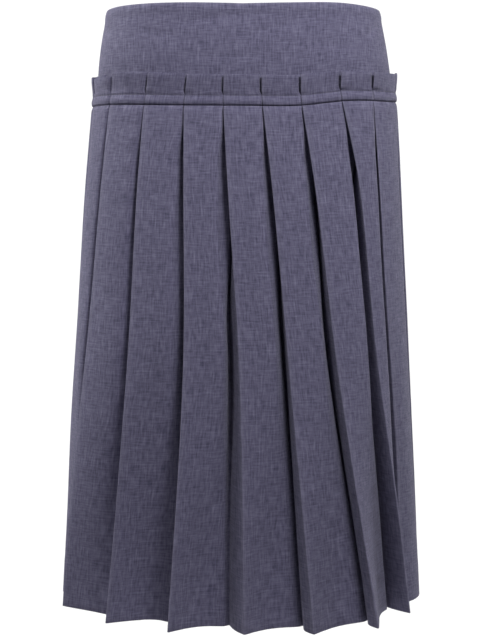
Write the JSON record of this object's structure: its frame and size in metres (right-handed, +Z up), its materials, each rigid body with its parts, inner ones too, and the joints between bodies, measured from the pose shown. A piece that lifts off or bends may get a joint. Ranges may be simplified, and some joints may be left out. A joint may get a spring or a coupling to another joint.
{
  "type": "pleated midi skirt",
  "caption": "Pleated midi skirt held open as worn: a plain hip yoke, and knife pleats in slate melange suiting pressed down by a narrow stitched band.",
  "frame": {"origin": "middle of the waist opening, level with the waist edge at the centre front", "axes": "+Z up along the height of the skirt, -Y towards the front, +X towards the right as seen from the front"},
  "size_m": [0.4117, 0.3373, 0.6706],
  "materials": {
    "yoke_cloth": "matte melange suiting, plain weave",
    "pleat_cloth": "matte melange suiting, plain weave, pressed in knife pleats"
  },
  "bodies": {
    "root": {"yoke_front": "yoke_cloth", "yoke_back": "yoke_cloth", "pleated_front": "pleat_cloth", "pleated_back": "pleat_cloth"}
  },
  "joints": []
}
